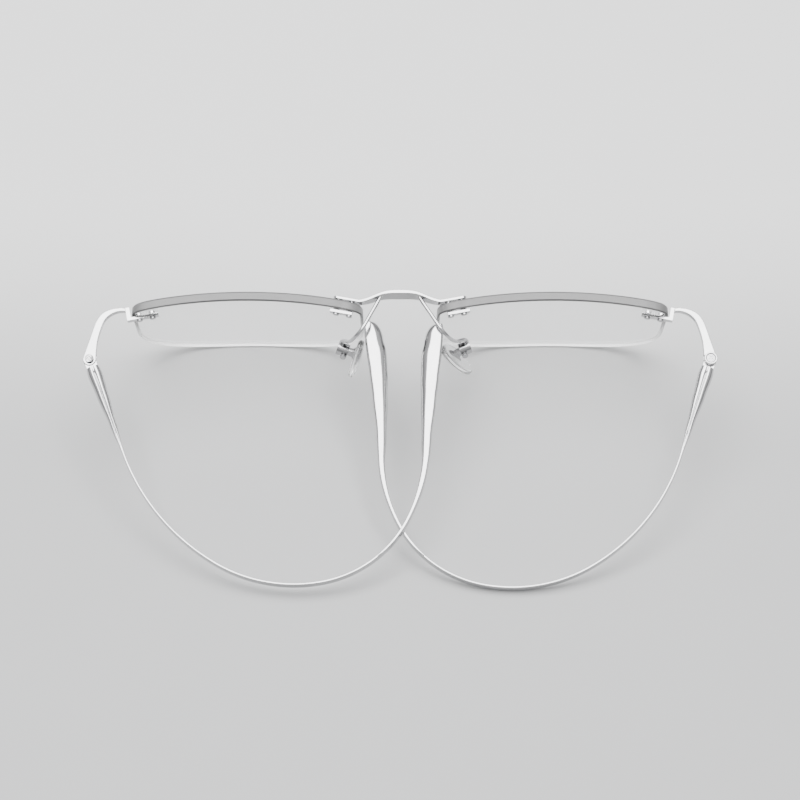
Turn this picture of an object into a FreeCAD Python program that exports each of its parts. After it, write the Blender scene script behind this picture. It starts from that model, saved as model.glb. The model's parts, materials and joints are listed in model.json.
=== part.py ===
import FreeCAD, Part
import math
import os
import Sketcher
from FreeCAD import Placement, Rotation, Vector

os.makedirs("parts", exist_ok=True)
doc = FreeCAD.newDocument("glasses")

# ---------------------------------------------------------------- driving sizes
# Millimetres and degrees. "Temple plane" is the plane of the two hinge centres and the curled temples.
# In the glasses' own axes x runs across, y forward to the lenses and z up, normal to the temple plane.
SIZES = {
    "hinge_span": 139.0,        # between the two hinge centres
    "lens_width": 52.2,
    "lens_height": 29.8,
    "lens_thick": 2.2,
    "lens_radius": 115.0,       # back surface
    "lens_gap": 16.6,           # between the lenses, over the nose
    "lens_drop": 10.6,          # lens centre below the temple plane
    "lens_reach": 13.6,         # back surface ahead of the hinge line
    "outer_mount_in": 12.0,     # hinge centre in to the outer mount
    "outer_mount_rise": 0.2,    # outer mount above the temple plane
    "inner_mount_out": 12.6,    # middle of the nose out to the inner mount
    "inner_mount_rise": 2.7,
    "pin_pitch": 3.0,
    "pin_radius": 0.45,
    "bushing_radius": 0.8,
    "flange_radius": 1.15,
    "flange_thick": 0.2,
    "pin_play": 0.02,
    "pin_head": 0.45,
    "bar_thick": 0.6,
    "bar_height": 1.8,
    "bar_reach": 2.9,           # bar past the mount's middle, away from the lens edge
    "wall_thick": 0.9,
    "edge_play": 0.25,          # lens edge to the bracket's side wall
    "strap_height": 1.5,        # endpiece strap
    "strap_climb": 1.5,         # strap's slope up from the hinge to the lens
    "eye_radius": 1.45,
    "eye_height": 3.0,
    "tang_thick": 0.8,
    "tang_play": 0.06,
    "screw_radius": 0.55,
    "screw_play": 0.03,
    "screw_head": 0.95,
    "screw_ring": 0.12,         # open ring round the sunk head
    "screw_head_thick": 0.5,
    "root_start": 1.75,
    "root_length": 22.0,
    "root_width": 3.5,
    "root_height": 2.9,
    "strip_thick": 0.8,
    "strip_height": 1.9,
    "left_lean": 69.0,          # root of the curled temple, down from the line between the hinges
    "right_lean": 71.5,
    "pass_height": 2.3,         # one curled temple passes this far above the other
    "bridge_thick": 0.75,
    "plate_thick": 0.55,        # the bridge's ends, in front of the lenses
    "plate_stand": 0.2,
    "bridge_height": 2.2,
    "bridge_rise": 2.6,
    "bridge_reach": 15.45,
    "wire_radius": 0.42,
    "pad_length": 10.8,
    "pad_width": 7.4,
    "pad_thick": 2.0,
    "pad_stand": 3.0,           # pad's middle plane to its pivot
    "pad_raise": 1.2,           # pivot above the pad's middle
    "left_pad_rock": -2.0,      # each pad rests rocked on its screw by this
    "right_pad_rock": 27.0,
    "box_radius": 1.5,
    "box_back": 1.9,            # box behind its screw, and ahead of it
    "box_mouth": 0.7,
    "lug_radius": 0.75,         # pad's lug, round the screw
    "lug_thick": 1.1,
    "pad_pin_radius": 0.35,
    "stand_tilt": 20.020,       # the temple plane slopes down to the curls by this
    "stand_height": 19.655,     # hinge line above the floor
    "stand_forward": 13.584,    # hinge line ahead of the middle of the footprint
}
sheet = doc.addObject("Spreadsheet::Sheet", "sizes")
for row, (alias, value) in enumerate(SIZES.items(), start=1):
    sheet.set(f"A{row}", alias)
    sheet.set(f"B{row}", str(value))
    sheet.setAlias(f"B{row}", alias)
doc.recompute()


def size(alias):
    return float(sheet.get(alias))


# ---------------------------------------------------------------- small helpers
pieces = []
SIDES = {"left": -1, "right": 1}


def body(name):
    made = doc.addObject("PartDesign::Body", name)
    made.Label = name
    pieces.append(made)
    return made


def sketch_on(owner, name, role, offset=None):
    """A sketch on one of the body's own origin planes, moved and turned in that plane's axes."""
    made = owner.newObject("Sketcher::SketchObject", name)
    plane = next(f for f in owner.Origin.OriginFeatures if f.Role == role)
    made.AttachmentSupport = [(plane, "")]
    made.MapMode = "FlatFace"
    if offset:
        made.AttachmentOffset = offset
    return made


def upright(frame):
    """The offset that stands an XZ_Plane sketch up in another frame, with its normal along minus y."""
    turn = Placement(Vector(), Rotation(Vector(1, 0, 0), 90))
    return turn.inverse().multiply(frame).multiply(turn)


def circle(sketch, x, y, radius):
    """A circle whose radius is bound to an expression."""
    spot = sketch.addGeometry(Part.Circle(Vector(x, y, 0), Vector(0, 0, 1), 1.0))
    rule = sketch.addConstraint(Sketcher.Constraint("Radius", spot, 1.0))
    sketch.setExpression(f"Constraints[{rule}]", radius)


def curve(points, closed=False):
    made = Part.BSplineCurve()
    made.interpolate(Points=[Vector(x, y, 0) for x, y in points], PeriodicFlag=closed)
    return made


def line(a, b):
    return Part.LineSegment(Vector(*a, 0), Vector(*b, 0))


def ring_of(sketch, runs):
    """A closed outline. Each run is a list of points: two make a straight edge, more a smooth curve."""
    for run in runs:
        sketch.addGeometry(line(*run) if len(run) == 2 else curve(run))


def polygon(sketch, corners):
    ring_of(sketch, [[a, b] for a, b in zip(corners, corners[1:] + corners[:1])])


def pad(owner, sketch, length, midplane=True, backwards=False):
    made = owner.newObject("PartDesign::Pad", "pad_" + sketch.Name)
    made.Profile = sketch
    made.setExpression("Length", length)
    made.Midplane = midplane
    made.Reversed = backwards
    sketch.Visibility = False
    return made


def pocket(owner, sketch, length, midplane=True):
    made = owner.newObject("PartDesign::Pocket", "cut_" + sketch.Name)
    made.Profile = sketch
    made.setExpression("Length", length)
    made.Midplane = midplane
    return made


def round_edges(owner, base, radius):
    """Rounds all the edges of a body's last feature."""
    doc.recompute()
    made = owner.newObject("PartDesign::Fillet", "round_" + base.Name)
    made.Base = (base, [f"Edge{i}" for i in range(1, len(base.Shape.Edges) + 1)])
    made.Radius = radius


# ---------------------------------------------------------------- how the glasses stand
# They stand on the lenses' lower edges and on the curled temples, so they lean back.
half_span = size("hinge_span") / 2
lens_middle = (size("lens_gap") + size("lens_width")) / 2
stand = Placement(Vector(0, size("stand_forward"), size("stand_height")),
                  Rotation(Vector(1, 0, 0), size("stand_tilt")))


def place(piece, local=Placement()):
    piece.Placement = stand.multiply(local)


# ---------------------------------------------------------------- lenses
# A lens is edged from a round meniscus blank. Its body's origin is the centre of the surfaces' curvature.
radius = size("lens_radius")
lens_thick = size("lens_thick")


def lens_place(side):
    return Placement(Vector(side * lens_middle, size("lens_reach") - radius, -size("lens_drop")), Rotation())


def lens_edge(angle):
    """A point of the outline: nearly square above the middle, nearly an ellipse below it."""
    power = 2 / (12.0 if math.sin(angle) > 0 else 2.5)
    across = math.copysign(abs(math.cos(angle)) ** power, math.cos(angle))
    up = math.copysign(abs(math.sin(angle)) ** power, math.sin(angle))
    return size("lens_width") / 2 * across, size("lens_height") / 2 * up


def mount_turn(side, across, rise):
    """How the surface's normal is turned at a mount, given where it is from the lens's middle."""
    sideways = Rotation(Vector(0, 0, 1), -math.degrees(math.asin(across / radius)))
    upward = Rotation(Vector(1, 0, 0), math.degrees(math.asin(rise / radius)))
    return sideways.multiply(upward)


MOUNTS = {}
for name, side in SIDES.items():
    outer = side * (half_span - size("outer_mount_in") - lens_middle)
    inner = side * (size("inner_mount_out") - lens_middle)
    MOUNTS[name, "outer"] = mount_turn(side, outer, size("outer_mount_rise") + size("lens_drop"))
    MOUNTS[name, "inner"] = mount_turn(side, inner, size("inner_mount_rise") + size("lens_drop"))


def mount_place(name, where):
    """A mount's own frame: origin on the lens's back surface, y along the normal, towards the front."""
    turn = Placement(Vector(), MOUNTS[name, where])
    return lens_place(SIDES[name]).multiply(turn).multiply(Placement(Vector(0, radius, 0), Rotation()))


def lens(name, side):
    owner = body(f"{name}_lens")
    # The blank: an upright slice of the two spheres, turned about their upright axis.
    blank = sketch_on(owner, f"{name}_blank", "YZ_Plane")
    spread = math.asin(0.62 * size("lens_height") / radius)
    ends = []
    for bend in (radius, radius + lens_thick):
        low = (bend * math.cos(spread), -bend * math.sin(spread))
        high = (low[0], -low[1])
        blank.addGeometry(Part.Arc(Vector(*low, 0), Vector(bend, 0, 0), Vector(*high, 0)))
        ends.append((low, high))
    ring_of(blank, [[ends[0][k], ends[1][k]] for k in (0, 1)])
    turned = owner.newObject("PartDesign::Revolution", f"{name}_meniscus")
    turned.Profile = blank
    turned.ReferenceAxis = (blank, ["V_Axis"])
    turned.Angle = 2 * math.degrees(math.asin(0.58 * size("lens_width") / radius))
    turned.Midplane = True
    # The edging: all that is outside the outline goes.
    edging = sketch_on(owner, f"{name}_edging", "XZ_Plane")
    edging.addGeometry(Part.Circle(Vector(), Vector(0, 0, 1), size("lens_width")))
    steps = 36
    outline = [lens_edge(2 * math.pi * (k + 0.5) / steps) for k in range(steps)]
    edging.addGeometry(curve(outline, closed=True))
    pocket(owner, edging, "3 * sizes.lens_radius")
    # Two holes for the pins of each mount.
    for where in ("outer", "inner"):
        offset = upright(Placement(Vector(), MOUNTS[name, where]))
        holes = sketch_on(owner, f"{name}_{where}_holes", "XZ_Plane", offset)
        for shift in (-0.5, 0.5):
            circle(holes, shift * size("pin_pitch"), 0, "sizes.bushing_radius + sizes.pin_play")
        pocket(owner, holes, "3 * sizes.lens_radius")
    place(owner, lens_place(side))


# ---------------------------------------------------------------- lens mounts
# Each mount is a bar behind the lens and two pins in clear bushings.
OUTER_EDGE = 3.05               # outer mount's middle to the lens's edge
flange = size("flange_thick")
bar_back = -flange - size("bar_thick")
wall = OUTER_EDGE + size("edge_play")
wall_out = wall + size("wall_thick")


def bracket(name, side, where):
    """The outer bracket also has a wall round the lens's edge, which carries the endpiece."""
    owner = body(f"{name}_{where}_bracket")
    plan = sketch_on(owner, f"{name}_{where}_plan", "XY_Plane")
    reach = size("bar_reach")
    if where == "outer":
        corners = [(-reach, bar_back), (wall_out, bar_back), (wall_out, lens_thick),
                   (wall, lens_thick), (wall, -flange), (-reach, -flange)]
    else:
        corners = [(-2.1, bar_back), (reach, bar_back), (reach, -flange), (-2.1, -flange)]
    polygon(plan, [(side * x, y) for x, y in corners])
    solid = pad(owner, plan, "sizes.bar_height")
    face = Placement(Vector(0, 0, flange), Rotation())
    holes = sketch_on(owner, f"{name}_{where}_pin_holes", "XZ_Plane", face)
    for shift in (-0.5, 0.5):
        circle(holes, shift * size("pin_pitch"), 0, "sizes.pin_radius + sizes.pin_play")
    drilled = pocket(owner, holes, "sizes.bar_thick * 1.5", midplane=False)
    drilled.Reversed = True
    doc.recompute()
    if drilled.Shape.Volume >= solid.Shape.Volume:
        raise RuntimeError(f"{owner.Label}: the pin holes cut nothing")
    place(owner, mount_place(name, where))


def turned_pair(name, where, label, rings):
    """Two equal turned pieces at the pin pitch, as separate solids. rings: (inner, outer, from y, to y)."""
    made = doc.addObject("Part::Feature", label)
    made.Label = label
    solids = []
    for shift in (-0.5, 0.5):
        whole = None
        for inner, outer, start, end in rings:
            base = Vector(shift * size("pin_pitch"), start, 0)
            ring = Part.makeCylinder(outer, end - start, base, Vector(0, 1, 0))
            if inner:
                ring = ring.cut(Part.makeCylinder(inner, end - start, base, Vector(0, 1, 0)))
            whole = ring if whole is None else whole.fuse(ring)
        solids.append(whole.removeSplitter().Solids[0])
    made.Shape = Part.makeCompound(solids)
    pieces.append(made)
    place(made, mount_place(name, where))


def mount_hardware(name, where):
    """Pins with round heads on the bar. The inner pair goes on through the bridge's plate."""
    pin = size("pin_radius")
    bore = pin + size("pin_play")
    head = bar_back - size("pin_head")
    end = lens_thick + (size("plate_stand") + size("plate_thick") if where == "inner" else 0)
    turned_pair(name, where, f"{name}_{where}_pins",
                [(0, pin, bar_back, end), (0, pin * 1.5, head, bar_back)])
    turned_pair(name, where, f"{name}_{where}_bushings",
                [(bore, size("bushing_radius"), 0, lens_thick),
                 (bore, size("flange_radius"), -flange + 0.01, -0.03)])


# ---------------------------------------------------------------- endpieces and hinges
def endpiece(name, side):
    """A strap from the outer bracket's wall round to the hinge, seen in plan, with an eye at its end."""
    owner = body(f"{name}_endpiece")
    frame = mount_place(name, "outer")
    hinge = Vector(side * half_span, 0, 0)
    start = side * (wall_out + 0.01)
    near = frame.multVec(Vector(start, lens_thick - 0.02, 0)) - hinge
    far = frame.multVec(Vector(start, lens_thick - 0.75, 0)) - hinge
    wide = size("eye_radius")
    outer = [(near.x * side, near.y), (-4.3, 11.75), (-2.3, 10.6), (-1.0, 8.4),
             (-0.1, 5.4), (0.85, 2.2), (wide, 0)]
    inner = [(far.x * side, far.y), (-4.7, 10.8), (-3.3, 9.6), (-2.35, 7.4),
             (-1.7, 4.8), (-wide, 2.0), (-wide, 0)]
    climb = Rotation(Vector(1, 0, 0), size("strap_climb"))
    plan = sketch_on(owner, f"{name}_strap_plan", "XY_Plane", Placement(Vector(), climb))
    outer = [(side * x, y) for x, y in outer]
    inner = [(side * x, y) for x, y in inner]
    plan.addGeometry(curve(outer))
    plan.addGeometry(curve(inner))
    ring_of(plan, [[outer[0], inner[0]]])
    plan.addGeometry(Part.Arc(Vector(*outer[-1], 0), Vector(0, -wide, 0), Vector(*inner[-1], 0)))
    pad(owner, plan, "sizes.strap_height")
    eye = sketch_on(owner, f"{name}_eye", "XY_Plane")
    circle(eye, 0, 0, "sizes.eye_radius")
    pad(owner, eye, "sizes.eye_height")
    slot = sketch_on(owner, f"{name}_slot", "XY_Plane")
    circle(slot, 0, 0, "sizes.eye_radius + 0.35")
    pocket(owner, slot, "sizes.tang_thick + 2 * sizes.tang_play")
    bore = sketch_on(owner, f"{name}_bore", "XY_Plane")
    circle(bore, 0, 0, "sizes.screw_radius + 0.01")
    pocket(owner, bore, "2 * sizes.eye_height")
    top = Placement(Vector(0, 0, size("eye_height") / 2), Rotation())
    sink = sketch_on(owner, f"{name}_sink", "XY_Plane", top)
    circle(sink, 0, 0, "sizes.screw_head + sizes.screw_ring")
    pocket(owner, sink, "2 * sizes.screw_head_thick - 0.3")
    place(owner, Placement(hinge, Rotation()))


def hinge_screw(name, side):
    owner = body(f"{name}_hinge_screw")
    shaft = sketch_on(owner, f"{name}_shaft", "XY_Plane")
    circle(shaft, 0, 0, "sizes.screw_radius")
    pad(owner, shaft, "sizes.eye_height - 0.02")
    seat = size("eye_height") / 2 - size("screw_head_thick") + 0.15
    head = sketch_on(owner, f"{name}_head", "XY_Plane", Placement(Vector(0, 0, seat), Rotation()))
    circle(head, 0, 0, "sizes.screw_head")
    pad(owner, head, "sizes.screw_head_thick", midplane=False)
    top = seat + size("screw_head_thick")
    long = 0.72 * size("screw_head")
    for turn in (40, 130):
        way = Placement(Vector(0, 0, top), Rotation(Vector(0, 0, 1), turn))
        slot = sketch_on(owner, f"{name}_cross_slot_{turn}", "XY_Plane", way)
        polygon(slot, [(-long, -0.14), (long, -0.14), (long, 0.14), (-long, 0.14)])
        pocket(owner, slot, "0.4")
    place(owner, Placement(Vector(side * half_span, 0, 0), Rotation()))


# ---------------------------------------------------------------- temples
# A temple runs straight back from its hinge, then curls round behind and forward to the nose.
# Each stretch is an arc: its length and how far it turns.
STRETCHES = {
    "left": [(33.0, 37.5), (24.0, 41.0), (25.0, 55.0), (16.0, 23.0), (30.0, -3.5)],
    "right": [(33.0, 41.0), (24.0, 40.5), (24.4, 53.0), (16.4, 27.0), (32.0, -8.5)],
}
TIP_FROM = 3                    # the strip is the first three stretches, the tip the rest
roll = math.degrees(math.asin(size("pass_height") / size("hinge_span")))


def walk(position, heading, length, turn):
    """The far end and the middle of an arc that starts at a place and a heading."""
    def point(part):
        if abs(turn) < 1e-9:
            gone = part * length
            return position[0] + gone * math.cos(heading), position[1] + gone * math.sin(heading)
        radius = length / turn
        return (position[0] + radius * (math.sin(heading + part * turn) - math.sin(heading)),
                position[1] - radius * (math.cos(heading + part * turn) - math.cos(heading)))
    return point


def beside(position, heading, away):
    """A point beside the path: away is to the left of the heading."""
    return position[0] - away * math.sin(heading), position[1] + away * math.cos(heading)


def temple_stations(name):
    """Where each stretch starts: place, heading, length and turn. The root is straight."""
    lean = math.radians(size(f"{name}_lean"))
    root_end = size("root_start") + size("root_length")
    position = (root_end * math.cos(lean), -root_end * math.sin(lean))
    heading = -lean
    stations = []
    for length, turn in STRETCHES[name]:
        turn = math.radians(turn)
        stations.append((position, heading, length, turn))
        position = walk(position, heading, length, turn)(1)
        heading += turn
    return stations


STATIONS = {name: temple_stations(name) for name in SIDES}


def temple_place(side):
    return Placement(Vector(side * half_span, 0, 0), Rotation(Vector(0, 1, 0), -roll))


def mirrored(points, side):
    """Temple outlines are worked out for the left side, where the temple curls to plus x."""
    return [(-side * x, y) for x, y in points]


def temple_root(name, side):
    """A tapered round rod with a flat tang that fits the endpiece's eye."""
    owner = body(f"{name}_temple_root")
    tang = sketch_on(owner, f"{name}_tang", "XY_Plane")
    wide = size("eye_radius") - 0.1
    tang.addGeometry(Part.Arc(Vector(0, wide, 0), Vector(-wide, 0, 0), Vector(0, -wide, 0)))
    inside = [(3.2, -wide * 0.8), (3.2, wide * 0.8)]
    ring_of(tang, [[(0, -wide), inside[0]], inside, [inside[1], (0, wide)]])
    pad(owner, tang, "sizes.tang_thick")
    sections = []
    start = size("root_start") + 0.35
    end = size("root_start") + size("root_length")
    for label, at, width, height in (("thick", start, size("root_width"), size("root_height")),
                                     ("slim", end, size("strip_thick"), size("strip_height"))):
        section = sketch_on(owner, f"{name}_{label}", "YZ_Plane", Placement(Vector(0, 0, at), Rotation()))
        if width > height:
            oval = Part.Ellipse(Vector(), width / 2, height / 2)
        else:
            oval = Part.Ellipse(Vector(0, height / 2, 0), Vector(width / 2, 0, 0), Vector())
        section.addGeometry(oval)
        sections.append(section)
    rod = owner.newObject("PartDesign::AdditiveLoft", f"{name}_rod")
    rod.Profile = sections[0]
    rod.Sections = sections[1:]
    bore = sketch_on(owner, f"{name}_tang_bore", "XY_Plane")
    circle(bore, 0, 0, "sizes.screw_radius + sizes.screw_play")
    pocket(owner, bore, "2 * sizes.tang_thick")
    lean = size(f"{name}_lean")
    turn = -lean if side < 0 else lean - 180
    place(owner, temple_place(side).multiply(Placement(Vector(), Rotation(Vector(0, 0, 1), turn))))


def temple_strip(name, side):
    """A springy flat strip that stands on edge."""
    owner = body(f"{name}_temple_strip")
    plan = sketch_on(owner, f"{name}_strip_plan", "XY_Plane")
    half = size("strip_thick") / 2
    for away in (-half, half):
        for position, heading, length, turn in STATIONS[name][:TIP_FROM]:
            spots = [beside(walk(position, heading, length, turn)(part), heading + part * turn, away)
                     for part in (0, 0.5, 1)]
            plan.addGeometry(Part.Arc(*[Vector(x, y, 0) for x, y in mirrored(spots, side)]))
    for position, heading in (STATIONS[name][0][:2], STATIONS[name][TIP_FROM][:2]):
        ends = [beside(position, heading, away) for away in (-half, half)]
        ring_of(plan, [mirrored(ends, side)])
    pad(owner, plan, "sizes.strip_height")
    place(owner, temple_place(side))


# Half widths of the tip on its two sides, at parts of its length.
TIP_SHAPE = [(0.0, 0.4, 0.4), (0.27, 0.8, 0.75), (0.42, 1.05, 0.9), (0.61, 1.7, 1.3),
             (0.73, 2.3, 1.7), (0.83, 2.55, 1.85), (0.915, 2.15, 1.9), (0.975, 1.2, 1.75)]


def temple_tip(name, side):
    """A paddle that swells from the strip and has a round end."""
    owner = body(f"{name}_temple_tip")
    plan = sketch_on(owner, f"{name}_tip_plan", "XY_Plane")
    stations = STATIONS[name][TIP_FROM:]
    total = sum(station[2] for station in stations)
    inner = []
    outer = []
    for part, inside, outside in TIP_SHAPE:
        run = part * total
        position, heading, length, turn = stations[0] if run <= stations[0][2] else stations[1]
        share = run / length if run <= stations[0][2] else (run - stations[0][2]) / length
        spot = walk(position, heading, length, turn)(share)
        inner.append(beside(spot, heading + share * turn, inside))
        outer.append(beside(spot, heading + share * turn, -outside))
    position, heading, length, turn = stations[-1]
    end = beside(walk(position, heading, length, turn)(1), heading + turn, -1.0)
    plan.addGeometry(curve(mirrored(outer + [end] + inner[::-1], side)))
    ring_of(plan, [mirrored([inner[0], outer[0]], side)])
    plate = pad(owner, plan, "sizes.strip_height")
    round_edges(owner, plate, 0.3)
    place(owner, temple_place(side))


# ---------------------------------------------------------------- bridge, pad arms and nose pads
def bridge():
    """A flat strip bowed forward over the nose. Its straight ends lie in front of the lenses."""
    owner = body("bridge")
    plan = sketch_on(owner, "bridge_plan", "XY_Plane")
    thick = size("bridge_thick")
    reach = size("bridge_reach")
    plate = size("plate_thick")
    far, near = [mount_place("right", "inner").multVec(Vector(x, lens_thick + size("plate_stand"), 0))
                 for x in (2.7, -3.2)]
    back = [(far.x, far.y), (near.x, near.y), (6.3, reach - 2.05), (4.1, reach - 1.1), (0, reach - thick)]
    front = [(x, y + plate) for x, y in back[:2]] + [(6.1, reach - 1.4), (3.7, reach - 0.4), (0, reach)]
    for rail in (back, front):
        left_half = [(-x, y) for x, y in rail]
        ring_of(plan, [left_half[:2], left_half[1:] + rail[-2:0:-1], rail[:2]])
    for side in (-1, 1):
        ring_of(plan, [[(side * far.x, far.y), (side * far.x, far.y + plate)]])
    pad(owner, plan, "sizes.bridge_height")
    rise = Placement(Vector(0, 0, size("bridge_rise")), Rotation())
    for name in SIDES:
        offset = upright(rise.inverse().multiply(mount_place(name, "inner")))
        holes = sketch_on(owner, f"{name}_bridge_holes", "XZ_Plane", offset)
        for shift in (-0.5, 0.5):
            circle(holes, shift * size("pin_pitch"), 0, "sizes.pin_radius + 0.005")
        drilled = pocket(owner, holes, "4 * sizes.lens_thick")
    # The ends' corners are rounded.
    doc.recompute()
    corners = [f"Edge{i}" for i, edge in enumerate(drilled.Shape.Edges, start=1)
               if abs(edge.CenterOfMass.x) > far.x - 0.1 and abs(edge.Length - plate) < 0.01]
    if len(corners) != 4:
        raise RuntimeError(f"the bridge has {len(corners)} end corners instead of 4")
    rounded = owner.newObject("PartDesign::Fillet", "rounded_ends")
    rounded.Base = (drilled, corners)
    rounded.Radius = 0.4 * size("bridge_height")
    place(owner, rise)
    return owner


# The pad arm's way from the bridge, over the temple's tip and down to the pad's box, on the right side.
ARM_ROUTE = {
    "left": [(4.3, 14.5, 2.55), (4.9, 13.2, 2.6), (6.3, 10.4, 2.85), (7.55, 7.9, 3.15),
             (8.35, 6.5, 3.2), (9.3, 5.4, 2.7), (10.4, 4.7, 1.3), (11.5, 4.8, -1.0)],
    "right": [(4.25, 14.5, 2.55), (4.85, 13.3, 2.6), (6.35, 10.8, 2.85), (7.9, 8.2, 3.2),
              (8.8, 6.8, 3.3), (9.8, 5.6, 2.9), (11.1, 4.8, 1.4), (12.8, 4.9, -1.0)],
}
PAD_PIVOT = {"left": Vector(-12.4, 4.5, -6.0), "right": Vector(14.2, 4.8, -6.0)}
PAD_DOWN = Vector(0.231, -0.331, -0.915)
PAD_FACE = Vector(-0.938, -0.326, -0.119)


def pad_place(name, rocked=False):
    """The pad's frame: origin at its pivot, x towards the nose, z up along the pad."""
    side = SIDES[name]
    up = Vector(-side * PAD_DOWN.x, -PAD_DOWN.y, -PAD_DOWN.z)
    face = Vector(side * PAD_FACE.x, PAD_FACE.y, PAD_FACE.z)
    turn = Rotation(face, up.cross(face), up, "XZY")
    if rocked:
        turn = turn.multiply(Rotation(Vector(0, 1, 0), size(f"{name}_pad_rock")))
    return Placement(PAD_PIVOT[name], turn)


def pad_arm(name, side):
    """A round wire. Its ends are shaped to the back of the bridge and the outside of the pad's box."""
    made = doc.addObject("Part::Feature", f"{name}_pad_arm")
    made.Label = f"{name}_pad_arm"
    pivot = pad_place(name)
    landing = -size("box_back") + 0.5
    end = [pivot.multVec(Vector(landing, 0, height * size("box_radius"))) for height in (1.7, 0.7)]
    route = [Vector(side * x, y, z) for x, y, z in ARM_ROUTE[name]] + end
    path = Part.BSplineCurve()
    path.interpolate(route)
    ring = Part.Wire([Part.makeCircle(size("wire_radius"), route[0], path.tangent(0)[0])])
    pipe = Part.Wire([path.toShape()]).makePipeShell([ring], True, False)
    box = Part.makeCylinder(size("box_radius"), 8, Vector(-6, 0, 0), Vector(1, 0, 0))
    box.Placement = pivot.multiply(box.Placement)
    strip = bridge_piece.Shape.copy()
    strip.Placement = stand.inverse().multiply(strip.Placement)
    wire = pipe.cut(box).cut(strip)
    made.Shape = max(wire.Solids, key=lambda solid: solid.Volume)
    pieces.append(made)
    place(made)


def pad_box(name, side):
    """A round box, open towards the nose, that the pad's lug turns in."""
    owner = body(f"{name}_pad_box")
    floor = Placement(Vector(0, 0, -size("box_back")), Rotation())
    cup = sketch_on(owner, f"{name}_cup", "YZ_Plane", floor)
    circle(cup, 0, 0, "sizes.box_radius")
    pad(owner, cup, "sizes.box_back + sizes.box_mouth", midplane=False)
    mouth = Placement(Vector(0, 0, size("box_mouth")), Rotation())
    slot = sketch_on(owner, f"{name}_box_slot", "YZ_Plane", mouth)
    half = size("lug_thick") / 2 + 0.05
    polygon(slot, [(-half, -2), (half, -2), (half, 2), (-half, 2)])
    pocket(owner, slot, "2 * (sizes.box_mouth + sizes.lug_radius + 0.12)")
    bore = sketch_on(owner, f"{name}_box_bore", "XZ_Plane")
    circle(bore, 0, 0, "sizes.pad_pin_radius + 0.01")
    pocket(owner, bore, "4 * sizes.box_radius")
    place(owner, pad_place(name))


def pad_screw(name, side):
    owner = body(f"{name}_pad_screw")
    shaft = sketch_on(owner, f"{name}_pad_shaft", "XZ_Plane")
    circle(shaft, 0, 0, "sizes.pad_pin_radius")
    pad(owner, shaft, "2.6 * sizes.box_radius")
    reach = Placement(Vector(0, 0, side * -1.3 * size("box_radius")), Rotation())
    head = sketch_on(owner, f"{name}_pad_screw_head", "XZ_Plane", reach)
    circle(head, 0, 0, "2 * sizes.pad_pin_radius")
    pad(owner, head, "0.4", midplane=False, backwards=side > 0)
    place(owner, pad_place(name))


def nose_pad(name, side):
    """A soft oval pad with a flat lug that turns on the box's screw."""
    owner = body(f"{name}_nose_pad")
    stand_off = size("pad_stand")
    low = -size("pad_raise")
    middle = Placement(Vector(0, 0, stand_off), Rotation())
    oval = sketch_on(owner, f"{name}_oval", "YZ_Plane", middle)
    half_width = size("pad_width") / 2
    half_length = size("pad_length") / 2
    steps = 12
    outline = []
    for k in range(steps):
        angle = 2 * math.pi * k / steps
        swell = 1 - 0.12 * math.sin(angle)
        outline.append((half_width * swell * math.cos(angle), low + half_length * math.sin(angle)))
    oval.addGeometry(curve(outline, closed=True))
    disc = pad(owner, oval, "sizes.pad_thick")
    round_edges(owner, disc, size("pad_thick") * 0.42)
    lug = sketch_on(owner, f"{name}_lug", "XZ_Plane")
    back = stand_off - size("pad_thick") / 2 + 0.3
    round_end = size("lug_radius")
    lug.addGeometry(Part.Arc(Vector(0, round_end, 0), Vector(-round_end, 0, 0), Vector(0, -round_end, 0)))
    foot = [(back, -1.2), (back, 1.2)]
    ring_of(lug, [[(0, -round_end), foot[0]], foot, [foot[1], (0, round_end)]])
    pad(owner, lug, "sizes.lug_thick")
    bore = sketch_on(owner, f"{name}_lug_bore", "XZ_Plane")
    circle(bore, 0, 0, "sizes.pad_pin_radius + sizes.screw_play")
    pocket(owner, bore, "3")
    place(owner, pad_place(name, rocked=True))


bridge_piece = bridge()
for name, side in SIDES.items():
    lens(name, side)
    for where in ("outer", "inner"):
        bracket(name, side, where)
        mount_hardware(name, where)
    endpiece(name, side)
    hinge_screw(name, side)
    temple_root(name, side)
    temple_strip(name, side)
    temple_tip(name, side)
    pad_arm(name, side)
    pad_box(name, side)
    pad_screw(name, side)
    nose_pad(name, side)

# ---------------------------------------------------------------- check and write
doc.recompute()
for thing in doc.Objects:
    if "Invalid" in thing.State or "Error" in thing.State:
        raise RuntimeError(f"{thing.Label} failed: {thing.State}")
for piece in pieces:
    if piece.Shape.isNull() or not piece.Shape.isValid():
        raise RuntimeError(f"{piece.Label} has no valid shape")
for piece in pieces:
    piece.Shape.exportStep(f"parts/{piece.Label}.step")
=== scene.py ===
import json
import math

import bmesh
import bpy
from mathutils import Matrix, Vector


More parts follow.
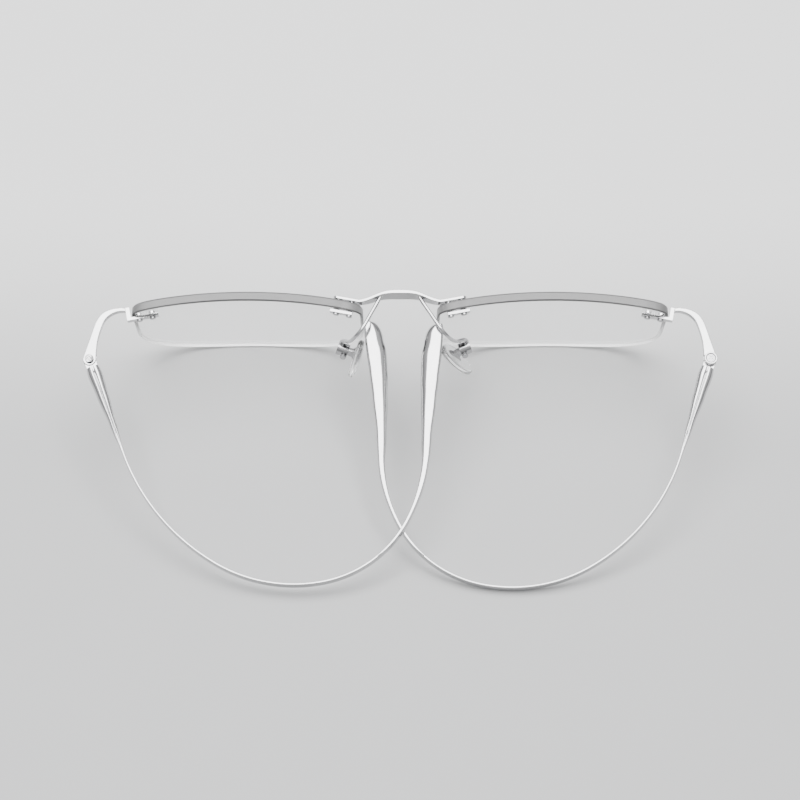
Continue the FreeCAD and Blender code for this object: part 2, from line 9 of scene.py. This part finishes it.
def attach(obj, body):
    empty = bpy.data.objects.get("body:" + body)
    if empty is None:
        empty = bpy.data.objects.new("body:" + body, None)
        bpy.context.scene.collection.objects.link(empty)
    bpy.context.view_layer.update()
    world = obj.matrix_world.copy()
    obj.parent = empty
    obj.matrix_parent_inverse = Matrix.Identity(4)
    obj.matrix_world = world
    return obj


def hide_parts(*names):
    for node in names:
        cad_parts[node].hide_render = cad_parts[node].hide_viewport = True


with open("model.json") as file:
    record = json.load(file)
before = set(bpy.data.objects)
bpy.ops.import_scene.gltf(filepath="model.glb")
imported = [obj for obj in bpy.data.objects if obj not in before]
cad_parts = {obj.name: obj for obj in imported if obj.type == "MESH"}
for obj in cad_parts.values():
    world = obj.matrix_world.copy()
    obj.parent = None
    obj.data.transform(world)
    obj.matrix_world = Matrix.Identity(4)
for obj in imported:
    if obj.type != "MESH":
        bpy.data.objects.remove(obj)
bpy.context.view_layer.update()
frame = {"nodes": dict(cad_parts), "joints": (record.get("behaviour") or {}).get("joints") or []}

MM = 0.001                      # sizes below are in millimetres unless they say otherwise
SIDES = {"left": -1, "right": 1}

# ---------------------------------------------------------------- where things are
# The glasses' own axes, from the two fold hinges: x across, y forward to the lenses, z along the hinges.
joints = {joint["name"]: joint for joint in frame["joints"]}
hinge = {side: Vector(joints[f"{side}_fold"]["pos_m"]) for side in SIDES}
up = Vector(joints["right_fold"]["axis"]).normalized()
across = Vector((1, 0, 0))
forward = up.cross(across)
middle = (hinge["left"] + hinge["right"]) / 2
glasses = Matrix((across, forward, up)).transposed().to_4x4()
glasses.translation = middle
lean_back = math.atan2(-up.y, up.z)


# ---------------------------------------------------------------- materials
def material(name, **constants):
    """A new material and its shader. The constants go straight onto the shader's sockets."""
    made = bpy.data.materials.new(name)
    made.use_nodes = True
    shader = made.node_tree.nodes["Principled BSDF"]
    for socket, value in constants.items():
        shader.inputs[socket.replace("_", " ")].default_value = value
    return made, shader


def noise(made, scale, detail=4.0, stretch=(1, 1, 1)):
    """Noise in the object's own metres, so that its grain has a real size."""
    tree = made.node_tree
    place = tree.nodes.new("ShaderNodeTexCoord")
    mapping = tree.nodes.new("ShaderNodeMapping")
    mapping.inputs["Scale"].default_value = stretch
    tree.links.new(place.outputs["Object"], mapping.inputs["Vector"])
    texture = tree.nodes.new("ShaderNodeTexNoise")
    texture.inputs["Scale"].default_value = scale
    texture.inputs["Detail"].default_value = detail
    tree.links.new(mapping.outputs["Vector"], texture.inputs["Vector"])
    return texture.outputs["Fac"]


def ramp(made, source, stops):
    """A colour ramp. stops: (position, grey or colour)."""
    node = made.node_tree.nodes.new("ShaderNodeValToRGB")
    while len(node.color_ramp.elements) < len(stops):
        node.color_ramp.elements.new(0.5)
    for element, (position, tone) in zip(node.color_ramp.elements, stops):
        element.position = position
        element.color = (*tone, 1) if isinstance(tone, tuple) else (tone, tone, tone, 1)
    made.node_tree.links.new(source, node.inputs["Fac"])
    return node.outputs["Color"]


def bump(made, shader, height, depth):
    """Fine relief on the surface, to a depth in metres."""
    node = made.node_tree.nodes.new("ShaderNodeBump")
    node.inputs["Distance"].default_value = depth
    node.inputs["Strength"].default_value = 0.5
    made.node_tree.links.new(height, node.inputs["Height"])
    made.node_tree.links.new(node.outputs["Normal"], shader.inputs["Normal"])


def polished_metal(name, bright, dull, smooth, rough, grain=(1, 1, 1)):
    """Polished metal with faint clouding, finger wear and very fine polishing lines."""
    made, shader = material(name, Metallic=1.0)
    link = made.node_tree.links.new
    cloud = noise(made, 220, 6)
    link(ramp(made, cloud, [(0.3, dull), (0.65, bright)]), shader.inputs["Base Color"])
    wear = noise(made, 900, 8, grain)
    link(ramp(made, wear, [(0.35, smooth), (0.75, rough)]), shader.inputs["Roughness"])
    bump(made, shader, noise(made, 9000, 3, grain), 0.002 * MM)
    return made


def clear_material(name, tint, smooth, rough, index, grain_scale):
    """A clear material with slight clouding and faint smudges on its surface."""
    made, shader = material(name, Transmission_Weight=1.0, IOR=index)
    link = made.node_tree.links.new
    cloud = noise(made, 60, 3)
    paler = tuple(min(1.0, channel * 1.015) for channel in tint)
    link(ramp(made, cloud, [(0.3, tint), (0.7, paler)]), shader.inputs["Base Color"])
    smudge = noise(made, grain_scale, 6)
    link(ramp(made, smudge, [(0.45, smooth), (0.8, rough)]), shader.inputs["Roughness"])
    lets_lamps_through(made, shader, 0.6)
    return made


def lets_lamps_through(made, shader, share):
    """Light reaches what is behind the material, so that it throws only a faint shadow."""
    tree = made.node_tree
    rays = tree.nodes.new("ShaderNodeLightPath")
    through = tree.nodes.new("ShaderNodeBsdfTransparent")
    through.inputs["Color"].default_value = (share, share, share, 1)
    mix = tree.nodes.new("ShaderNodeMixShader")
    tree.links.new(rays.outputs["Is Shadow Ray"], mix.inputs["Fac"])
    tree.links.new(shader.outputs["BSDF"], mix.inputs[1])
    tree.links.new(through.outputs["BSDF"], mix.inputs[2])
    tree.links.new(mix.outputs["Shader"], tree.nodes["Material Output"].inputs["Surface"])


EDGE_PAINTED_LIGHT_LOW = 12              # the lens edges' painted light turns from a painted glow to painted shade between these heights over the floor
EDGE_PAINTED_LIGHT_HIGH = 21


def painted_light_edge(name, painted_glow_tone, painted_shade_tone, clear):
    """The fine-ground edge of a lens, with painted light: its colour is a painted glow low down, where
    light comes in through the faces, and painted shade higher up.
    """
    made, shader = material(name, Transmission_Weight=clear, IOR=1.5)
    tree = made.node_tree
    place = tree.nodes.new("ShaderNodeTexCoord")
    split = tree.nodes.new("ShaderNodeSeparateXYZ")
    tree.links.new(place.outputs["Object"], split.inputs["Vector"])
    height = tree.nodes.new("ShaderNodeMapRange")
    height.inputs["From Min"].default_value = EDGE_PAINTED_LIGHT_LOW * MM
    height.inputs["From Max"].default_value = EDGE_PAINTED_LIGHT_HIGH * MM
    tree.links.new(split.outputs["Z"], height.inputs["Value"])
    # Painted light: the edge's colour goes from a painted glow low down to painted shade higher up.
    tone = ramp(made, height.outputs["Result"], [(0.0, painted_glow_tone), (1.0, painted_shade_tone)])
    tree.links.new(tone, shader.inputs["Base Color"])
    grain = noise(made, 2500, 4)
    tree.links.new(ramp(made, grain, [(0.3, 0.28), (0.7, 0.4)]), shader.inputs["Roughness"])
    bump(made, shader, grain, 0.003 * MM)
    return made


titanium = polished_metal("titanium", (0.57, 0.57, 0.575), (0.52, 0.52, 0.525), 0.08, 0.17)
screw_metal = polished_metal("screw_metal", (0.48, 0.48, 0.485), (0.34, 0.34, 0.345), 0.16, 0.32)
lens_clear = clear_material("lens_clear", (0.985, 0.988, 0.988), 0.0, 0.012, 1.53, 150)
silicone = clear_material("clear_silicone", (0.975, 0.98, 0.98), 0.08, 0.2, 1.41, 900)
# The lens edges' colours are painted light: a painted glow low down and painted shade higher up, darker
# still on the bevels as painted dark lines.
painted_light_flat_edge = painted_light_edge("lens_edge", 1.0, 0.145, 0.08)
painted_light_bevel_edge = painted_light_edge("lens_edge_bevel", 0.98, 0.10, 0.08)
bushing_clear = clear_material("bushing_clear", (0.95, 0.955, 0.955), 0.06, 0.18, 1.49, 1200)


# ---------------------------------------------------------------- building helpers
def piece(name, vertices, faces, look, body):
    """A smooth mesh piece that rides on a body, from points in the shared frame, in metres."""
    mesh = bpy.data.meshes.new(name)
    mesh.from_pydata([tuple(v) for v in vertices], [], faces)
    work = bmesh.new()
    work.from_mesh(mesh)
    bmesh.ops.recalc_face_normals(work, faces=work.faces)
    work.to_mesh(mesh)
    work.free()
    mesh.materials.append(look)
    mesh.shade_smooth()
    made = bpy.data.objects.new(name, mesh)
    bpy.context.scene.collection.objects.link(made)
    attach(made, body)
    return made


def sweep(rings, closed_ends=True):
    """Faces of a tube through rings that all have the same number of points."""
    count = len(rings[0])
    vertices = [v for ring in rings for v in ring]
    faces = []
    for k in range(len(rings) - 1):
        for j in range(count):
            a = k * count + j
            b = k * count + (j + 1) % count
            faces.append((a, b, b + count, a + count))
    if closed_ends:
        faces.append(tuple(range(count))[::-1])
        faces.append(tuple(range((len(rings) - 1) * count, len(rings) * count)))
    return vertices, faces


def crisp(made, angle=35):
    """Marks the edges that turn by more than this as sharp, and smooths the rest."""
    mesh = made.data
    mesh.shade_smooth()
    mesh.set_sharp_from_angle(angle=math.radians(angle))


def frame_piece(node, look):
    """A CAD node's own shape as a piece of the frame, welded and without needless edges."""
    work = bmesh.new()
    work.from_mesh(frame["nodes"][node].data)
    bmesh.ops.remove_doubles(work, verts=work.verts, dist=0.002 * MM)
    bmesh.ops.dissolve_limit(work, angle_limit=math.radians(0.3), verts=work.verts, edges=work.edges)
    work.verts.index_update()
    vertices = [v.co.copy() for v in work.verts]
    faces = [[v.index for v in face.verts] for face in work.faces]
    work.free()
    made = piece(node + "_eased", vertices, faces, look, "frame")
    crisp(made)
    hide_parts(node)
    return made


def rounded(node, look):
    """A frame piece with its edges worn round, as cast or milled."""
    made = frame_piece(node, look)
    skin = made.modifiers.new("even skin", "REMESH")
    skin.mode = "VOXEL"
    skin.voxel_size = 0.07 * MM
    skin.use_smooth_shade = True
    soften = made.modifiers.new("rounding", "SMOOTH")
    soften.factor = 0.5
    soften.iterations = 12
    return made


def eased(node, look, edge):
    """A frame piece with its sharp edges eased by a bevel of this width."""
    made = frame_piece(node, look)
    ease = made.modifiers.new("eased edges", "BEVEL")
    ease.width = edge * MM
    ease.segments = 2
    ease.limit_method = "ANGLE"
    ease.angle_limit = math.radians(35)
    flats = made.modifiers.new("flat faces stay flat", "WEIGHTED_NORMAL")
    flats.keep_sharp = True
    return made


# ---------------------------------------------------------------- temples
# The same stretches as the CAD temples: the length of each, and how many degrees it turns.
STRETCHES = {
    "left": [(33.0, 37.5), (24.0, 41.0), (25.0, 55.0), (16.0, 23.0), (30.0, -3.5)],
    "right": [(33.0, 41.0), (24.0, 40.5), (24.4, 53.0), (16.4, 27.0), (32.0, -8.5)],
}
LEAN = {"left": 69.0, "right": 71.5}    # degrees from across to each temple's straight root
PASS_HEIGHT = 2.3               # one curled temple passes this far above the other
ROOT_END = 23.75
TEMPLE_START = 2.1
TIP_ROUND = 4.5                 # length of the tip's round end
TIP_DRIFT = 1.4                 # how far that end leans to the outside


def temple_path(side):
    """The temple's length, and a function from a run along it to its place and heading, for a left one."""
    lean = math.radians(LEAN[side])
    stretches = [(ROOT_END, 0.0)] + [(length, math.radians(turn)) for length, turn in STRETCHES[side]]

    def at(run):
        x, y, heading = 0.0, 0.0, -lean
        for index, (length, turn) in enumerate(stretches):
            last = index == len(stretches) - 1
            step = run if last else min(run, length)
            part = turn * step / length
            if abs(turn) < 1e-6:
                x += step * math.cos(heading)
                y += step * math.sin(heading)
            else:
                bend = length / turn
                x += bend * (math.sin(heading + part) - math.sin(heading))
                y -= bend * (math.cos(heading + part) - math.cos(heading))
            heading += part
            run -= step
            if run <= 0:
                break
        return x, y, heading

    return sum(length for length, turn in stretches), at


def between(table, value):
    """Smooth step by step interpolation in a short table of rows that start with the position."""
    if value <= table[0][0]:
        return table[0][1:]
    for low, high in zip(table, table[1:]):
        if value <= high[0]:
            t = (value - low[0]) / (high[0] - low[0])
            t = t * t * (3 - 2 * t)
            return tuple(a + (b - a) * t for a, b in zip(low[1:], high[1:]))
    return table[-1][1:]


# Sections along a temple: where (from the hinge, or from the end when negative), half width on the nose
# side, half width on the other side, half height, squareness, how far the nose side slopes in towards the
# top, and the depth of the crease along the top.
SECTIONS = [
    (TEMPLE_START, 1.50, 1.50, 1.40, 2.6, 0.0, 0.0),
    (3.5, 1.72, 1.72, 1.45, 2.3, 0.0, 0.45),
    (9.0, 1.40, 1.40, 1.32, 2.3, 0.0, 0.50),
    (16.0, 0.85, 0.85, 1.15, 2.6, 0.0, 0.30),
    (ROOT_END, 0.28, 0.32, 0.95, 7.0, 0.0, 0.0),
    (-60.0, 0.28, 0.32, 0.95, 8.0, 0.0, 0.0),
    (-46.0, 0.40, 0.42, 0.95, 8.0, 0.0, 0.0),
    (-34.5, 0.80, 0.75, 0.95, 6.0, 0.15, 0.0),
    (-27.5, 1.25, 1.05, 0.95, 5.0, 0.40, 0.0),
    (-18.4, 1.85, 1.60, 0.95, 5.0, 0.85, 0.0),
    (-12.9, 2.30, 1.85, 0.95, 5.0, 1.20, 0.0),
    (-8.0, 2.55, 2.00, 0.95, 5.0, 1.45, 0.0),
    (-TIP_ROUND, 2.20, 2.05, 0.95, 5.0, 1.50, 0.0),
]
OUTER_SLOPE = 0.2               # how far the other side leans in towards the top
RING_POINTS = 48
ALONG = 170                     # rings from the root to the tip's round end
ROUND_RINGS = 10                # and round the end


def temple(side):
    """One continuous temple: a round root that thins to a springy strip and swells to a flat tip."""
    total, at = temple_path(side)
    hinge_span = (hinge["right"] - hinge["left"]).length
    roll = Matrix.Rotation(math.asin(PASS_HEIGHT * MM / hinge_span), 4, "Y")
    plane = glasses.copy()
    plane.translation = hinge[side]
    plane = plane @ roll.inverted()
    table = [(start if start > 0 else total + start, *rest) for start, *rest in SECTIONS]
    rings = []
    for k in range(ALONG + 1):
        run = TEMPLE_START + (total - TIP_ROUND - TEMPLE_START) * k / ALONG
        rings.append(section(side, plane, at(run), *between(table, run)))
    # The tip's round end.
    inner, outer, half, square, slope, crease = table[-1][1:]
    for k in range(1, ROUND_RINGS + 1):
        angle = k / ROUND_RINGS * math.pi / 2
        shrink = max(math.cos(angle), 0.01) ** 0.6
        drift = TIP_DRIFT * (1 - shrink)
        spot = at(total - TIP_ROUND * (1 - math.sin(angle)))
        rings.append(section(side, plane, spot, inner * shrink - drift, outer * shrink + drift,
                             half * (0.6 + 0.4 * shrink), square, slope * shrink, crease))
    vertices, faces = sweep(rings)
    made = piece(f"{side}_temple_arm", vertices, faces, titanium, f"{side}_temple")
    crisp(made, 80)
    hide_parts(f"{side}_temple_strip", f"{side}_temple_tip", f"{side}_temple_root")
    tang(side, plane)


def section(side, plane, spot, inner, outer, half, square, slope, crease):
    """A ring of points across the temple at one spot of its path."""
    x, y, heading = spot
    ring = []
    for k in range(RING_POINTS):
        angle = 2 * math.pi * k / RING_POINTS
        cosine = math.cos(angle)
        sine = math.sin(angle)
        aside = math.copysign(abs(cosine) ** (2 / square), cosine)
        rise = math.copysign(abs(sine) ** (2 / square), sine)
        away = aside * (inner if aside > 0 else outer)
        if aside > 0:
            away -= slope * max(0.0, (rise + 0.1) / 1.1)
        else:
            away += OUTER_SLOPE * (rise + 1) / 2
        lift = rise * half
        from_top = abs(k - RING_POINTS // 4)
        if from_top < 2:
            lift -= crease * (1 - 0.5 * from_top)
        px = x - away * math.sin(heading)
        py = y + away * math.cos(heading)
        ring.append(plane @ (Vector((-SIDES[side] * px, py, lift)) * MM))
    return ring


TANG_EYE = 1.35                 # radius of the tang's round end
TANG_LENGTH = 3.2
TANG_NECK = 1.08                # half width where it meets the root
TANG_HALF = 0.4                 # half thickness


def tang(side, plane):
    """The flat tongue that fills the slot of the endpiece's eye."""
    sign = SIDES[side]
    lean = -math.radians(LEAN[side])
    outline = []
    for k in range(13):
        angle = math.pi / 2 + math.pi * k / 12
        outline.append((TANG_EYE * math.cos(angle), TANG_EYE * math.sin(angle)))
    outline += [(TANG_LENGTH, -TANG_NECK), (TANG_LENGTH, TANG_NECK)]
    rings = []
    for height in (-TANG_HALF, TANG_HALF):
        ring = []
        for u, v in outline:
            px = u * math.cos(lean) - v * math.sin(lean)
            py = u * math.sin(lean) + v * math.cos(lean)
            ring.append(plane @ (Vector((-sign * px, py, height)) * MM))
        rings.append(ring if sign < 0 else ring[::-1])
    vertices, faces = sweep(rings)
    made = piece(f"{side}_temple_tang", vertices, faces, titanium, f"{side}_temple")
    crisp(made, 30)


# ---------------------------------------------------------------- lenses
LENS_WIDE = 52.2
LENS_HIGH = 29.8
LENS_THICK = 2.2
LENS_RADIUS = 115.0             # of the back surface
LENS_GAP = 16.6                 # between the lenses, over the nose
LENS_DROP = 10.6                # lens centre below the temple plane
LENS_REACH = 13.6               # back surface ahead of the hinge line
LENS_MIDDLE = (LENS_GAP + LENS_WIDE) / 2
LENS_CENTRE = {side: Vector((sign * LENS_MIDDLE, LENS_REACH - LENS_RADIUS, -LENS_DROP))
               for side, sign in SIDES.items()}
SAFETY_BEVEL = 0.35
JUST_INSIDE = 0.999             # of the CAD lens's size
HOLE_RADIUS = 0.82              # of a pin's hole in the lens


def lens_outline(count):
    """The lens's edge, in even steps: nearly square above its middle and nearly an ellipse below."""
    fine = 4000
    dense = []
    for k in range(fine):
        angle = 2 * math.pi * k / fine
        power = 2 / (12.0 if math.sin(angle) > 0 else 2.5)
        x = math.copysign(abs(math.cos(angle)) ** power, math.cos(angle))
        z = math.copysign(abs(math.sin(angle)) ** power, math.sin(angle))
        dense.append(Vector((x * LENS_WIDE, z * LENS_HIGH)) * JUST_INSIDE / 2)
    gaps = [(b - a).length for a, b in zip(dense, dense[1:] + dense[:1])]
    step = sum(gaps) / count
    even = []
    gone = 0.0
    for point, following, gap in zip(dense, dense[1:] + dense[:1], gaps):
        while len(even) < count and len(even) * step < gone + gap:
            even.append(point.lerp(following, (len(even) * step - gone) / gap))
        gone += gap
    return even


def dome(point, bend):
    """A point of a lens surface of this radius, from the centre of curvature."""
    return Vector((point.x, math.sqrt(bend ** 2 - point.x ** 2 - point.y ** 2), point.y))


def lens(side):
    """A meniscus lens with a flat polished edge, fine safety bevels and real holes for its pins."""
    outline = lens_outline(180)
    scales = [k / 12 for k in range(1, 12)]
    inset = [point - point.normalized() * SAFETY_BEVEL for point in outline]
    back = [[dome(point * scale, LENS_RADIUS) for point in inset] for scale in scales + [1]]
    front = [[dome(point * scale, LENS_RADIUS + LENS_THICK) for point in inset] for scale in scales + [1]]
    edge = [[dome(point, LENS_RADIUS) + Vector((0, SAFETY_BEVEL, 0)) for point in outline],
            [dome(point, LENS_RADIUS + LENS_THICK) - Vector((0, SAFETY_BEVEL, 0)) for point in outline]]
    rings = back + edge + front[::-1]
    vertices, faces = sweep(rings, closed_ends=False)
    poles = [dome(Vector((0, 0)), bend) for bend in (LENS_RADIUS, LENS_RADIUS + LENS_THICK)]
    count = len(outline)
    last = len(vertices) - count
    for pole, ring in zip(poles, (0, last)):
        vertices.append(pole)
        faces += [(len(vertices) - 1, ring + k, ring + (k + 1) % count) for k in range(count)]
    vertices = [glasses @ ((v + LENS_CENTRE[side]) * MM) for v in vertices]
    made = piece(f"{side}_clear_lens", vertices, faces, lens_clear, "frame")
    made.data.materials.append(painted_light_flat_edge)
    made.data.materials.append(painted_light_bevel_edge)
    # The edge and its two bevels take the edge materials, whose colours are painted light.
    for strip, slot in ((len(back) - 1, 2), (len(back), 1), (len(back) + 1, 2)):
        for polygon in made.data.polygons[strip * count:(strip + 1) * count]:
            polygon.material_index = slot
    drill(made, [hole for where in ("outer", "inner") for hole in pin_holes(side, where)])
    crisp(made, 20)
    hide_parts(f"{side}_lens")


def pin_holes(side, where):
    """The middles and directions of a mount's two bushings, from the CAD bushings."""
    points = [v.co for v in frame["nodes"][f"{side}_{where}_bushings"].data.vertices]
    split = sum((point.x for point in points)) / len(points)
    centre = (glasses @ (LENS_CENTRE[side] * MM).to_4d()).to_3d()
    holes = []
    for group in ([p for p in points if p.x < split], [p for p in points if p.x >= split]):
        low = Vector([min(p[axis] for p in group) for axis in range(3)])
        high = Vector([max(p[axis] for p in group) for axis in range(3)])
        holes.append((low + high) / 2)
    normal = ((holes[0] + holes[1]) / 2 - centre).normalized()
    return [(hole, normal) for hole in holes]


def drill(made, holes):
    """Cuts round holes through a piece."""
    cutter_mesh = bpy.data.meshes.new("drill")
    work = bmesh.new()
    for spot, direction in holes:
        turn = direction.to_track_quat("Z", "Y").to_matrix().to_4x4()
        turn.translation = spot
        bmesh.ops.create_cone(work, cap_ends=True, segments=48, radius1=HOLE_RADIUS * MM,
                              radius2=HOLE_RADIUS * MM, depth=8 * MM, matrix=turn)
    work.to_mesh(cutter_mesh)
    work.free()
    cutter = bpy.data.objects.new("drill", cutter_mesh)
    bpy.context.scene.collection.objects.link(cutter)
    cut = made.modifiers.new("holes", "BOOLEAN")
    cut.object = cutter
    cut.solver = "EXACT"
    bpy.context.view_layer.update()
    shaped = made.evaluated_get(bpy.context.evaluated_depsgraph_get())
    made.data = bpy.data.meshes.new_from_object(shaped)
    made.modifiers.clear()
    bpy.data.objects.remove(cutter)


# ---------------------------------------------------------------- nose pads
PAD_PIVOT = {"left": Vector((-12.4, 4.5, -6.0)), "right": Vector((14.2, 4.8, -6.0))}
PAD_ROCK = {"left": -2.0, "right": 27.0}
PAD_DOWN = Vector((0.231, -0.331, -0.915))
PAD_FACE = Vector((-0.938, -0.326, -0.119))
PAD_OUT = 3.0                   # the pad's middle plane is this far from its pivot, towards the nose
PAD_DROP = 1.2                  # and its middle is this far below
PAD_WIDE = 3.7                  # half sizes of its oval
PAD_LONG = 5.4
# The pad's profile from the middle of its back, round its edge, to the middle of its nose side:
# part of the oval's size, and how far towards the nose.
PAD_PROFILE = [(0.25, -0.55), (0.5, -0.58), (0.7, -0.72), (0.85, -0.82), (0.95, -0.62), (1.0, -0.15),
               (0.97, 0.35), (0.86, 0.68), (0.62, 0.88), (0.3, 0.97)]


INSERT_EYE = 0.72               # radius of the insert's eye


def pad_frame(side):
    """The pad's own axes: origin at its pivot, x towards the nose, z up along the pad."""
    sign = SIDES[side]
    up_pad = Vector((-sign * PAD_DOWN.x, -PAD_DOWN.y, -PAD_DOWN.z))
    face = Vector((sign * PAD_FACE.x, PAD_FACE.y, PAD_FACE.z)).normalized()
    sideways = up_pad.cross(face).normalized()
    turn = Matrix((face, sideways, face.cross(sideways))).transposed().to_4x4()
    turn.translation = PAD_PIVOT[side] * MM
    return glasses @ turn @ Matrix.Rotation(math.radians(PAD_ROCK[side]), 4, "Y")


def nose_pad(side):
    """A soft clear pad, dished on its back, moulded round a metal insert that turns on the box's screw."""
    place = pad_frame(side)
    rings = []
    for scale, offset in PAD_PROFILE:
        ring = []
        for k in range(32):
            angle = 2 * math.pi * k / 32
            swell = 1 - 0.12 * math.sin(angle)
            y = PAD_WIDE * swell * math.cos(angle) * scale
            z = -PAD_DROP + PAD_LONG * math.sin(angle) * scale
            ring.append(place @ (Vector((PAD_OUT + offset, y, z)) * MM))
        rings.append(ring)
    vertices, faces = sweep(rings)
    made = piece(f"{side}_soft_pad", vertices, faces, silicone, f"{side}_pad")
    smooth = made.modifiers.new("smooth", "SUBSURF")
    smooth.levels = 2
    smooth.render_levels = 2
    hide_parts(f"{side}_nose_pad")
    insert(side, place)


def insert(side, place):
    """The insert: a round eye on the screw, a tapered neck, and a plate sunk in the pad's back."""
    turns = [math.radians(70 + 220 * k / 14) for k in range(15)]
    eye = [(INSERT_EYE * math.cos(turn), INSERT_EYE * math.sin(turn)) for turn in turns]
    neck_and_plate = [(1.9, -1.0), (2.35, -2.1), (2.62, -2.1), (2.62, 2.1), (2.35, 2.1), (1.9, 1.0)]
    rings = []
    for y, part in ((-0.52, 0.94), (-0.44, 1.0), (0.44, 1.0), (0.52, 0.94)):
        rings.append([place @ (Vector((u * part, y, v * part)) * MM) for u, v in eye + neck_and_plate])
    vertices, faces = sweep(rings)
    made = piece(f"{side}_pad_insert", vertices, faces, screw_metal, f"{side}_pad")
    crisp(made, 30)


# ---------------------------------------------------------------- frame metal and small parts
BAND_LEAN = 0.75                # how far the bridge's lower edge stands back from its upper edge, mid-way
BAND_TOP = 3.7                  # the bridge's upper edge above the temple plane
BAND_HEIGHT = 2.2
BAND_HALF_SPAN = 8.5            # the lean fades out this far from the middle
SCREW_HEAD = 0.95               # radius of a hinge screw's head
HEAD_DOME = 0.3                 # how far its rim sits below its middle
HEAD_FACE = 0.2                 # the head's top face lies within this depth


def lean_band(made):
    """Turns the middle of the bridge's band so that its rear face looks a little up."""
    into_glasses = glasses.inverted()
    for vertex in made.data.vertices:
        spot = into_glasses @ vertex.co
        share = max(0.0, 1 - (spot.x / (BAND_HALF_SPAN * MM)) ** 2)
        below = (BAND_TOP * MM - spot.z) / (BAND_HEIGHT * MM)
        spot.y -= BAND_LEAN * MM * share * below
        vertex.co = glasses @ spot


def dome_head(made, side):
    """Rounds a hinge screw's head over, so that its rim sits lower in the eye than its middle."""
    into_glasses = glasses.inverted()
    axis = into_glasses @ hinge[side]
    spots = [into_glasses @ vertex.co for vertex in made.data.vertices]
    top = max(spot.z for spot in spots)
    for vertex, spot in zip(made.data.vertices, spots):
        if spot.z > top - HEAD_FACE * MM:
            out = math.hypot(spot.x - axis.x, spot.y - axis.y) / (SCREW_HEAD * MM)
            spot.z -= HEAD_DOME * MM * out ** 2
            vertex.co = glasses @ spot


def frame_metal():
    """The frame's metal, screws, pins and bushings, from the CAD's own shapes."""
    for node, thing in frame["nodes"].items():
        if node.endswith("_bushings"):
            thing.data.materials.clear()
            thing.data.materials.append(bushing_clear)
        elif node.endswith(("_pins", "_screw")):
            made = eased(node, screw_metal, 0.07)
            if node.endswith("_hinge_screw"):
                dome_head(made, node.split("_")[0])
        elif node == "bridge":
            made = eased(node, titanium, 0.12)
            lean_band(made)
        elif node.endswith("_endpiece"):
            rounded(node, titanium)
        elif node.endswith("_box"):
            eased(node, screw_metal, 0.1)
        elif node.endswith(("_bracket", "_arm")):
            eased(node, titanium, 0.12)


frame_metal()
for side in SIDES:
    lens(side)
    nose_pad(side)
    temple(side)


# ---------------------------------------------------------------- floor, light and camera
def floor():
    """A pale floor with painted light: its colour grows a little lighter behind the glasses and darker in
    front.
    """
    made, shader = material("backdrop", Roughness=0.7)
    tree = made.node_tree
    grain = ramp(made, noise(made, 40, 4), [(0.3, 0.985), (0.7, 1.0)])
    place = tree.nodes.new("ShaderNodeTexCoord")
    split = tree.nodes.new("ShaderNodeSeparateXYZ")
    tree.links.new(place.outputs["Object"], split.inputs["Vector"])
    # Painted light: the floor's colour darkens towards the front and lightens behind the glasses, a
    # painted fall-off of the light.
    far = tree.nodes.new("ShaderNodeMapRange")
    far.interpolation_type = "SMOOTHSTEP"
    far.inputs["From Min"].default_value = 0.0
    far.inputs["From Max"].default_value = 0.085
    tree.links.new(split.outputs["Y"], far.inputs["Value"])
    painted_light_falloff = ramp(made, far.outputs["Result"], [(0.0, (0.417, 0.42, 0.423)), (1.0, (0.665, 0.669, 0.669))])
    mix = tree.nodes.new("ShaderNodeMixRGB")
    mix.blend_type = "MULTIPLY"
    mix.inputs["Fac"].default_value = 1.0
    tree.links.new(painted_light_falloff, mix.inputs["Color1"])
    tree.links.new(grain, mix.inputs["Color2"])
    tree.links.new(mix.outputs["Color"], shader.inputs["Base Color"])
    mesh = bpy.data.meshes.new("floor")
    reach = 3.0
    mesh.from_pydata([(-reach, -reach, 0), (reach, -reach, 0), (reach, reach, 0), (-reach, reach, 0)],
                     [], [(0, 1, 2, 3)])
    mesh.materials.append(made)
    ground = bpy.data.objects.new("floor", mesh)
    bpy.context.scene.collection.objects.link(ground)


def sky():
    """A pale studio all round: brightest overhead, greyer towards the horizon."""
    world = bpy.data.worlds.new("studio")
    bpy.context.scene.world = world
    world.use_nodes = True
    tree = world.node_tree
    around = tree.nodes.new("ShaderNodeTexCoord")
    split = tree.nodes.new("ShaderNodeSeparateXYZ")
    tree.links.new(around.outputs["Generated"], split.inputs["Vector"])
    stops = [(place, (tone, tone, tone * 1.01))
             for place, tone in ((0.0, 0.30), (0.35, 0.42), (0.75, 0.85), (1.0, 1.0))]
    background = tree.nodes["Background"]
    tree.links.new(ramp(world, split.outputs["Z"], stops), background.inputs["Color"])
    background.inputs["Strength"].default_value = 1.27


def area_light(name, spot, aim, width, power):
    light = bpy.data.lights.new(name, "AREA")
    light.shape = "SQUARE"
    light.size = width
    light.energy = power
    made = bpy.data.objects.new(name, light)
    made.location = spot
    made.rotation_euler = (Vector(aim) - Vector(spot)).to_track_quat("-Z", "Y").to_euler()
    bpy.context.scene.collection.objects.link(made)


def camera():
    """From behind and above, looking at the hinges' middle and down at the temple plane at 70 degrees."""
    distance = 0.5
    elevation = math.radians(70) - lean_back
    view = bpy.data.cameras.new("camera")
    view.lens = 100.45
    view.sensor_width = 36
    view.shift_y = -0.050
    made = bpy.data.objects.new("camera", view)
    made.location = middle + distance * Vector((0, -math.cos(elevation), math.sin(elevation)))
    made.rotation_euler = (math.pi / 2 - elevation, 0, 0)
    bpy.context.scene.collection.objects.link(made)
    bpy.context.scene.camera = made


floor()
sky()
area_light("overhead", (-0.05, 0.15, 0.9), (0, 0.02, 0), 0.95, 24)
camera()
